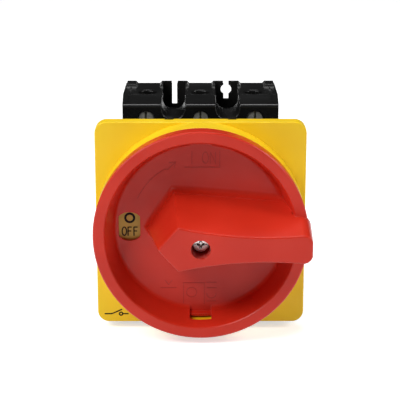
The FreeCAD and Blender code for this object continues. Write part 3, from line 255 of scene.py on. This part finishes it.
RUBBER = plastic(
    "rubber_black", dark=srgb(22, 22, 22), base=srgb(30, 30, 30), light=srgb(46, 46, 46),
    rough=(0.62, 0.80), grain_bump=0.20, specular=0.3)
# The legend film is the plate's yellow darkened and dulled: painted shade for the yellow lying in
# the shadow under the dish.
LEGEND = plastic(
    "legend_film", dark=(0.56, 0.39, 0.06), base=(0.62, 0.44, 0.075), light=(0.68, 0.50, 0.10),
    rough=(0.48, 0.60), grain_bump=0.04)
# The relief marks are given a darker red than the dish: painted shade for their shaded sides.
RED_RELIEF_SHADE = plastic(
    "red_relief_painted_shade",
    dark=(0.43, 0.017, 0.008), base=(0.47, 0.020, 0.009), light=(0.52, 0.024, 0.011),
    rough=(0.30, 0.40), grain_bump=0.03, edge_radius=0.0, specular=0.25)
INK = plastic(
    "black_print", dark=srgb(3, 3, 3), base=srgb(5, 5, 5), light=srgb(9, 9, 8),
    rough=(0.55, 0.70), grain_bump=0.03, edge_radius=0.0, specular=0.15)
ZINC = metal("zinc_plated", dark=(0.29, 0.29, 0.26), base=(0.40, 0.40, 0.36),
             rough=(0.34, 0.50), metallic=0.55)
# The nickel's recesses are darkened: painted shade.
NICKEL = metal("nickel_plated", dark=(0.88, 0.87, 0.85), base=(0.97, 0.96, 0.94),
               rough=(0.32, 0.40), brush=(1.0, 1.0, 1.0), scratch=0.06, metallic=0.85,
               hollow_shade_reach=0.0009)
SPRING = metal("spring_steel", dark=(0.36, 0.36, 0.38), base=(0.52, 0.52, 0.54),
               rough=(0.29, 0.40))
COPPER = metal("bare_copper", dark=(0.60, 0.30, 0.17), base=(0.82, 0.46, 0.28),
               rough=(0.30, 0.42))
SILVER = metal("silver_tip", dark=(0.66, 0.65, 0.62), base=(0.86, 0.85, 0.82),
               rough=(0.29, 0.38))

SLOT_MATERIALS = {
    "yellow_plastic": YELLOW, "red_plastic": RED, "legend_film": LEGEND,
    "black_plastic": BLACK, "black_rubber": RUBBER, "natural_nylon": NYLON,
    "zinc_steel": ZINC, "bright_screw": NICKEL, "spring_steel": SPRING,
    "copper": COPPER, "silver": SILVER,
}
for subpart in frame["record"]["subparts"]:
    piece = frame["nodes"][subpart["node"]]
    material = SLOT_MATERIALS[subpart["material_slot"]]
    if not piece.material_slots:
        piece.data.materials.append(material)
    for material_slot in piece.material_slots:
        material_slot.material = material


# ------------------------------------------------------------------ mesh helpers
def link_object(name, data):
    obj = bpy.data.objects.new(name, data)
    scene.collection.objects.link(obj)
    return obj


def tidy(mesh, merge=False):
    """Point all faces outwards, after merging coincident points if asked."""
    work = bmesh.new()
    work.from_mesh(mesh)
    if merge:
        bmesh.ops.remove_doubles(work, verts=work.verts, dist=1e-8)
    bmesh.ops.recalc_face_normals(work, faces=work.faces)
    work.to_mesh(mesh)
    work.free()


def add_mesh(name, verts, faces, material, body, slot, smooth=False):
    """A new piece from points in mm, riding on a body of the frame."""
    mesh = bpy.data.meshes.new(name)
    mesh.from_pydata([(x * MM, y * MM, z * MM) for x, y, z in verts], [], faces)
    mesh.validate()
    tidy(mesh, merge=True)
    mesh.materials.append(material)
    if smooth:
        for polygon in mesh.polygons:
            polygon.use_smooth = True
    obj = link_object(name, mesh)
    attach(obj, body)
    return obj


# ------------------------------------------------------------------ stroke shapes
# A line is points (x, z): a list is an open line and a tuple a closed loop.
def ribbon(line, width, y_front, y_back):
    """Verts and faces of a flat bar that follows a line between two depths."""
    closed = isinstance(line, tuple)
    points = [Vector(point) for point in line]
    n = len(points)
    segments = n if closed else n - 1
    runs = [(points[(i + 1) % n] - points[i]).normalized() for i in range(segments)]
    left, right = [], []
    for i, point in enumerate(points):
        before = runs[i - 1] if closed or i else runs[0]
        after = runs[i] if i < segments else runs[-1]
        along = (before + after).normalized()
        # Widened at corners to keep the bar's width, with a limit on sharp ones.
        reach = width / 2 / max(0.35, along.dot(before))
        offset = Vector((-along.y, along.x)) * reach
        left.append(point + offset)
        right.append(point - offset)
    verts = [(v.x, y, v.y) for y in (y_front, y_back) for side in (left, right) for v in side]
    # First indices of the four rows: left and right, front and back.
    lf, rf, lb, rb = 0, n, 2 * n, 3 * n
    faces = []
    for i in range(segments):
        j = (i + 1) % n
        faces += [(lf + i, lf + j, rf + j, rf + i), (lb + i, rb + i, rb + j, lb + j),
                  (lf + i, lb + i, lb + j, lf + j), (rf + i, rf + j, rb + j, rb + i)]
    if not closed:
        e = n - 1
        faces += [(lf, rf, rb, lb), (lf + e, lb + e, rb + e, rf + e)]
    return verts, faces


def strokes(name, lines, width, y_front, y_back, **placing):
    """Several ribbons in one piece."""
    verts, faces = [], []
    for line in lines:
        line_verts, line_faces = ribbon(line, width, y_front, y_back)
        first = len(verts)
        verts += line_verts
        faces += [tuple(index + first for index in face) for face in line_faces]
    add_mesh(name, verts, faces, **placing)


def oval(cx, cz, rx, rz, sides=48):
    angles = [2 * math.pi * i / sides for i in range(sides)]
    return tuple((cx + rx * math.cos(a), cz + rz * math.sin(a)) for a in angles)


def arc(cx, cz, radius, start, end, steps):
    """An open arc between two angles in degrees."""
    angles = [math.radians(start + (end - start) * i / steps) for i in range(steps + 1)]
    return [(cx + radius * math.cos(a), cz + radius * math.sin(a)) for a in angles]


def letters(word, x, z, wide, high, gap):
    """Plain stroke capitals O, F and N, from x to the right, standing on z."""
    lines = []
    top = z + high
    for letter in word:
        if letter == "O":
            lines.append(oval(x + wide / 2, z + high / 2, wide / 2, high / 2))
        elif letter == "F":
            middle = z + high * 0.53
            lines += [[(x, z - 0.15), (x, top + 0.15)],
                      [(x, top), (x + wide * 0.85, top)],
                      [(x, middle), (x + wide * 0.75, middle)]]
        elif letter == "N":
            right = x + wide * 0.85
            lines.append([(x, z - 0.1), (x, top), (right, z), (right, top + 0.1)])
        x += wide + gap
    return lines


# ------------------------------------------------------------------ printed marks
LEGEND_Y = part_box("legend_plate")[0].y / MM
PLATE_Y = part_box("front_plate")[0].y / MM
PRINT_PROUD = 0.03
PRINT_HIGH = 3.75       # letter height
PRINT_STROKE = 0.56
SYMBOL_Z = -41.3


def print_mark(name, lines, width, surface=LEGEND_Y, sunk=0.03):
    strokes(name, lines, width, surface - PRINT_PROUD, surface + sunk,
            material=INK, body="switch_base", slot="black_plastic")


# On the legend plate: off at 9 o'clock, on at 12 o'clock.
print_mark("print_off_ring", [oval(-30.4, 3.3, 1.9, 1.9)], width=0.95)
print_mark("print_off_word",
           letters("OFF", x=-33.72, z=-4.6, wide=1.85, high=PRINT_HIGH, gap=0.68),
           width=PRINT_STROKE)
print_mark("print_on_bar", [[(-0.1, 31.6), (-0.1, 35.4)]], width=0.80)
print_mark("print_on_word",
           letters("ON", x=-2.6, z=26.1, wide=2.2, high=PRINT_HIGH, gap=0.6),
           width=PRINT_STROKE)

# The disconnector symbol in the front plate's lower left corner.
print_mark("print_symbol", [
    [(-42.1, SYMBOL_Z), (-39.2, SYMBOL_Z), (-38.3, -41.05), (-34.4, -39.25)],
    oval(-34.9, SYMBOL_Z, 0.72, 0.72, sides=32),
    [(-34.05, SYMBOL_Z), (-31.6, SYMBOL_Z)],
], width=0.58, surface=PLATE_Y, sunk=0.05)


# ------------------------------------------------------------------ relief on the dish floor
FLOOR_Y = -13.8         # the dish floor
RELIEF_PROUD, RELIEF_SUNK = 0.12, 0.1
RELIEF_STROKE = 0.32


def relief_mark(name, lines):
    strokes(name, lines, RELIEF_STROKE, FLOOR_Y - RELIEF_PROUD, FLOOR_Y + RELIEF_SUNK,
            material=RED_RELIEF_SHADE, body="rotor", slot="red_plastic")


# The turning arrow: a curved shaft and its two barbs.
relief_mark("relief_arrow", [
    arc(0, 0, 29.7, start=155, end=121, steps=20) + [(-14.0, 25.2), (-10.6, 28.6)],
    [(-13.4, 28.4), (-10.6, 28.6), (-11.3, 25.9)],
])
# Above the grip: an L-shaped border, a bar and the word.
relief_mark("relief_on_marks", [
    [(-6.9, 26.3), (8.1, 26.3), (8.1, 33.6)],
    [(-3.7, 27.6), (-3.7, 33.4)],
] + letters("ON", x=0.7, z=28.0, wide=2.6, high=4.9, gap=0.8))
# Below the grip: a three-sided border round a ring, and bars and an arc to its right.
relief_mark("relief_off_marks", [
    [(-7.4, -35.0), (-7.4, -25.6), (1.6, -25.6), (1.6, -35.4)],
    oval(-3.9, -29.9, 2.2, 2.2),
    [(2.6, -25.4), (7.0, -25.4)],
    [(2.6, -27.9), (7.0, -27.9)],
    arc(4.7, -30.6, 2.0, start=170, end=370, steps=16),
    [(2.6, -34.0), (6.6, -33.9)],
])
# Lower left: a level dash under a V.
relief_mark("relief_dash", [
    [(-17.5, -27.8), (-10.4, -27.8)],
    [(-15.4, -24.4), (-13.9, -26.4), (-12.3, -24.4)],
])


# ------------------------------------------------------------------ grip cove
GRIP_BASE_Y = -13.0
GRIP_HEIGHT = 33.0
# Corners of the grip's upper half: (x, z) at its base, (x, z) at its front.
GRIP_TIP = ((-23.4, 0.0), (-17.6, 0.0))
GRIP_SHOULDER = ((-11.7, 16.6), (-9.2, 9.4))
GRIP_HEEL = ((40.5, 12.0), (42.0, 6.0))
GRIP_MIDDLE = Vector((8.0, 0.0))    # a point inside the outline
SIDE_RADIUS = 1500.0    # the long side bows out on this radius
SIDE_SHARE = 0.905      # how far along the long side the cove runs
TIP_STEPS, SIDE_STEPS = 10, 30

COVE_WIDE, COVE_NARROW = 2.4, 1.5   # reach over the floor, above and below the grip
COVE_TURN = 6.0         # the reach changes between z = -6 and z = 6
COVE_RISE = 2.8
COVE_STEPS = 10
COVE_BURIED = 0.03      # how far the cove's front edge sinks into the flank
COVE_DEPTH = 0.5        # how far its hidden back lies inside the flank


def grip_outline():
    """The grip's outline at the dish floor, from the lower heel round the tip to the upper."""
    share = (GRIP_BASE_Y - FLOOR_Y) / GRIP_HEIGHT
    tip, shoulder, heel = (
        Vector([b + (f - b) * share for b, f in zip(base, front)])
        for base, front in (GRIP_TIP, GRIP_SHOULDER, GRIP_HEEL))
    chord = heel - shoulder
    bow = SIDE_RADIUS - math.sqrt(SIDE_RADIUS * SIDE_RADIUS - (chord.length / 2) ** 2)
    across = Vector((-chord.y, chord.x)).normalized()
    upper = [tip + (shoulder - tip) * i / TIP_STEPS for i in range(1, TIP_STEPS)]
    for i in range(SIDE_STEPS + 1):
        u = i / SIDE_STEPS * SIDE_SHARE
        upper.append(shoulder + chord * u + across * bow * (1 - (2 * u - 1) ** 2))
    lower = [Vector((p.x, -p.y)) for p in reversed(upper)]
    return lower + [tip] + upper


def cove_section(point, out):
    """One section of the cove, as a ring of points and the normals at them."""
    lean = 0.19 if point.x < -11.0 else 0.20    # flank's lean per mm of rise
    inset = COVE_RISE * lean + COVE_BURIED
    turn = min(1.0, max(0.0, (point.y + COVE_TURN) / (2 * COVE_TURN)))
    reach = COVE_NARROW + (COVE_WIDE - COVE_NARROW) * turn
    foot = point + out * reach
    head = point - out * inset
    deep = point - out * COVE_DEPTH
    front_y = FLOOR_Y - COVE_RISE
    start = Vector((foot.x, FLOOR_Y + 0.003, foot.y))
    corner = Vector((point.x, FLOOR_Y, point.y))
    end = Vector((head.x, front_y, head.y))
    ring = [(foot.x, FLOOR_Y + 0.005, foot.y)]
    normals = []
    for k in range(COVE_STEPS + 1):
        t = k / COVE_STEPS
        if k:
            ring.append(tuple(start * (1 - t) ** 2 + corner * 2 * t * (1 - t) + end * t * t))
        inward = reach * (1 - t) + inset * t
        climb = COVE_RISE * t
        normals.append(Vector((out.x * climb, -inward, out.y * climb)).normalized())
    ring.append((deep.x - out.x * COVE_RISE * lean, front_y, deep.y - out.y * COVE_RISE * lean))
    ring.append((deep.x, FLOOR_Y + 0.25, deep.y))
    # The two hidden points hold a place only: their faces are shaded flat.
    normals += [Vector((0.0, 0.0, 0.0))] * 2
    return ring, normals


def grip_cove():
    """The smooth hollow where the grip's flanks run into the dish floor."""
    path = grip_outline()
    n = len(path)
    verts, normals = [], []
    for i, point in enumerate(path):
        along = (path[min(n - 1, i + 1)] - path[max(0, i - 1)]).normalized()
        out = Vector((-along.y, along.x))
        if out.dot(point - GRIP_MIDDLE) < 0:
            out = -out
        ring, ring_normals = cove_section(point, out)
        verts += ring
        normals += ring_normals
    per = COVE_STEPS + 3    # points in a ring
    faces = []
    for a in range(0, (n - 1) * per, per):
        for k in range(per):
            j = (k + 1) % per
            faces.append((a + k, a + j, a + per + j, a + per + k))
    faces.append(tuple(range(per)))
    faces.append(tuple((n - 1) * per + k for k in reversed(range(per))))
    cove = add_mesh("grip_cove", verts, faces, RED_COVE, "rotor", "red_plastic", smooth=True)
    mesh = cove.data
    # The normals fit only while merging has left every point in place.
    if len(mesh.vertices) == len(normals):
        corner_normals = [(0.0, 0.0, 0.0)] * len(mesh.loops)
        for polygon in mesh.polygons:
            corners = [(i, mesh.loops[i].vertex_index) for i in polygon.loop_indices]
            curved = all(vertex % per <= COVE_STEPS for _, vertex in corners)
            for i, vertex in corners:
                corner_normals[i] = tuple(normals[vertex] if curved else polygon.normal)
        mesh.normals_split_custom_set(corner_normals)


grip_cove()


# ------------------------------------------------------------------ grip screw
SCREW_RIM_Y = -38.2     # front rim of the head
SCREW_HEAD_BACK_Y = -36.6
SCREW_HEAD_RADIUS = 3.3
SCREW_CROWN_RADIUS = 3.15
SCREW_CROWN = 0.22      # height of the domed face
SCREW_SHANK_RADIUS = 1.94
SCREW_SIDES = 72
CUT_LEAD = 0.6          # the cutters start this far in front of the rim
# Name, half width and half height at the front, depth behind the rim, and the shares of
# width and height kept at the back.
SCREW_CUTS = (
    ("cut_slot", 3.6, 0.36, 0.30, 1.0, 0.7),
    ("cut_upright", 0.62, 1.95, 1.25, 0.45, 0.62),
    ("cut_across", 1.95, 0.62, 1.25, 0.62, 0.45),
    ("cut_centre", 1.05, 1.05, 1.05, 0.35, 0.35),
)


def lathe(profile, sides):
    """Verts and faces of a solid turned about Y from (y, radius) points."""
    verts, faces, rings = [], [], []
    for y, radius in profile:
        count = sides if radius else 1
        rings.append(range(len(verts), len(verts) + count))
        for i in range(count):
            angle = 2 * math.pi * i / sides
            verts.append((radius * math.cos(angle), y, radius * math.sin(angle)))
    for a, b in zip(rings, rings[1:]):
        for i in range(sides):
            j = (i + 1) % sides
            if len(a) == 1:
                faces.append((a[0], b[i], b[j]))
            elif len(b) == 1:
                faces.append((a[i], b[0], a[j]))
            else:
                faces.append((a[i], b[i], b[j], a[j]))
    return verts, faces


def wedge(name, half_x, half_z, depth, keep_x, keep_z):
    """A cutter that narrows with depth."""
    verts = []
    for y, share_x, share_z in ((SCREW_RIM_Y - CUT_LEAD, 1.0, 1.0),
                                (SCREW_RIM_Y + depth, keep_x, keep_z)):
        verts += [(sx * half_x * share_x * MM, y * MM, sz * half_z * share_z * MM)
                  for sx, sz in ((-1, -1), (1, -1), (1, 1), (-1, 1))]
    faces = [(0, 1, 2, 3), (7, 6, 5, 4), (0, 4, 5, 1), (1, 5, 6, 2), (2, 6, 7, 3), (3, 7, 4, 0)]
    mesh = bpy.data.meshes.new(name)
    mesh.from_pydata(verts, [], faces)
    tidy(mesh)
    return link_object(name, mesh)


def grip_screw():
    """The screw in the grip: a domed head with a tapered cross recess and a shallow slot."""
    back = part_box("handle_screw")[1].y / MM
    profile = [(SCREW_RIM_Y - SCREW_CROWN * (1 - (r / SCREW_CROWN_RADIUS) ** 2), r)
               for r in (0.0, 0.6, 1.2, 1.8, 2.4, 2.8, SCREW_CROWN_RADIUS)]
    profile += [
        (SCREW_RIM_Y + 0.05, 3.24), (SCREW_RIM_Y + 0.16, 3.29),
        (SCREW_RIM_Y + 0.3, SCREW_HEAD_RADIUS),
        (SCREW_HEAD_BACK_Y - 0.02, SCREW_HEAD_RADIUS),
        (SCREW_HEAD_BACK_Y, SCREW_HEAD_RADIUS - 0.05),
        (SCREW_HEAD_BACK_Y, SCREW_SHANK_RADIUS),
        (back - 0.4, SCREW_SHANK_RADIUS), (back, 1.5), (back, 0.0),
    ]
    screw = add_mesh("grip_screw", *lathe(profile, SCREW_SIDES), NICKEL, "rotor", "bright_screw")
    cutters = [wedge(*cut) for cut in SCREW_CUTS]
    bpy.context.view_layer.update()
    for cutter in cutters:
        cut = screw.modifiers.new(cutter.name, "BOOLEAN")
        cut.operation, cut.object, cut.solver = "DIFFERENCE", cutter, "EXACT"
    depsgraph = bpy.context.evaluated_depsgraph_get()
    mesh = bpy.data.meshes.new_from_object(screw.evaluated_get(depsgraph))
    screw.modifiers.clear()
    screw.data = mesh
    for cutter in cutters:
        bpy.data.objects.remove(cutter)
    for polygon in mesh.polygons:
        polygon.use_smooth = True
    mesh.set_sharp_from_angle(angle=math.radians(24))
    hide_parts("handle_screw")


grip_screw()


# ------------------------------------------------------------------ camera, light, floor
def aim(obj, location, direction):
    """Place a camera or light and turn its -Z axis along a direction."""
    obj.location = location
    obj.rotation_mode = "QUATERNION"
    obj.rotation_quaternion = Vector(direction).to_track_quat("-Z", "Y")


camera_data = bpy.data.cameras.new("camera")
camera_data.sensor_width = 36.0
camera_data.lens = 132.5
camera_data.clip_start, camera_data.clip_end = 0.01, 20.0
camera = link_object("camera", camera_data)
aim(camera, location=(-0.001357, -0.61512, 0.190324),
    direction=(0.001744, 0.958652, -0.284576))
scene.camera = camera

# Square area lights aimed at the origin: name, location, size in metres, power in watts.
LIGHTS = (
    ("over_back", (0.0, 0.25, 0.92), 0.50, 4.1),
    ("upper_left_high", (-0.32, -0.40, 0.82), 0.30, 0.6),
    ("upper_left", (-0.48, -0.55, 0.66), 0.35, 4.1),
    ("side_left", (-0.75, -0.25, 0.60), 0.35, 2.5),
    ("side_right", (0.75, -0.25, 0.60), 0.35, 3.5),
    ("low_right", (1.10, -0.15, 0.20), 0.50, 1.0),
    ("front", (0.03, -1.10, 0.36), 0.70, 0.15),
)
for name, location, size, power in LIGHTS:
    light = bpy.data.lights.new(name, "AREA")
    light.energy = power
    light.size = size
    aim(link_object(name, light), location, -Vector(location))


def studio_world():
    """White to the camera, and only a faint cool fill to everything else."""
    world = bpy.data.worlds.new("studio")
    scene.world = world
    nodes = Nodes(world)
    output = nodes.add("ShaderNodeOutputWorld")
    mix = nodes.add("ShaderNodeMixShader")
    rays = nodes.add("ShaderNodeLightPath")
    fill = nodes.add("ShaderNodeBackground", {"Color": (0.95, 0.97, 1.0, 1), "Strength": 0.02})
    backdrop = nodes.add("ShaderNodeBackground", {"Color": (1, 1, 1, 1), "Strength": 1.0})
    nodes.put(mix, 0, rays.outputs["Is Camera Ray"])
    nodes.put(mix, 1, fill.outputs[0])
    nodes.put(mix, 2, backdrop.outputs[0])
    nodes.put(output, "Surface", mix.outputs[0])


def floor_material():
    """A pale matt floor that glows to camera and glossy rays, more so far away."""
    m = Material("floor_pale")
    colour = m.ramp(m.noise(scale=3.0),
                    [(0.3, (0.86, 0.86, 0.86, 1)), (0.7, (0.89, 0.89, 0.89, 1))])
    m.surface(Base_Color=colour, Roughness=0.9, Specular_IOR_Level=0.1,
              Emission_Color=(1, 1, 1, 1))
    distance = m.add("ShaderNodeVectorMath", {0: m.coords}, operation="LENGTH")
    glow = m.remap(distance.outputs["Value"], source=(0.25, 2.5), target=(0.6, 1.0))
    rays = m.add("ShaderNodeLightPath").outputs
    seen = m.math("MAXIMUM", rays["Is Camera Ray"], rays["Is Glossy Ray"])
    m.surface(Emission_Strength=m.math("MULTIPLY", seen, glow))
    return m.data


def studio_floor(half=6, gap=0.0005):
    """A square floor just below the product."""
    mesh = bpy.data.meshes.new("floor")
    work = bmesh.new()
    for x, y in ((-half, -half), (half, -half), (half, half), (-half, half)):
        work.verts.new((x, y, 0))
    work.faces.new(work.verts)
    work.to_mesh(mesh)
    work.free()
    floor = link_object("floor", mesh)
    floor.location = (0, 0, CAD_BOX[0][2] - gap)
    mesh.materials.append(floor_material())


studio_world()
studio_floor()

scene.view_settings.view_transform = "Standard"
scene.view_settings.look = "None"
scene.view_settings.exposure = 0.0
scene.view_settings.gamma = 1.0
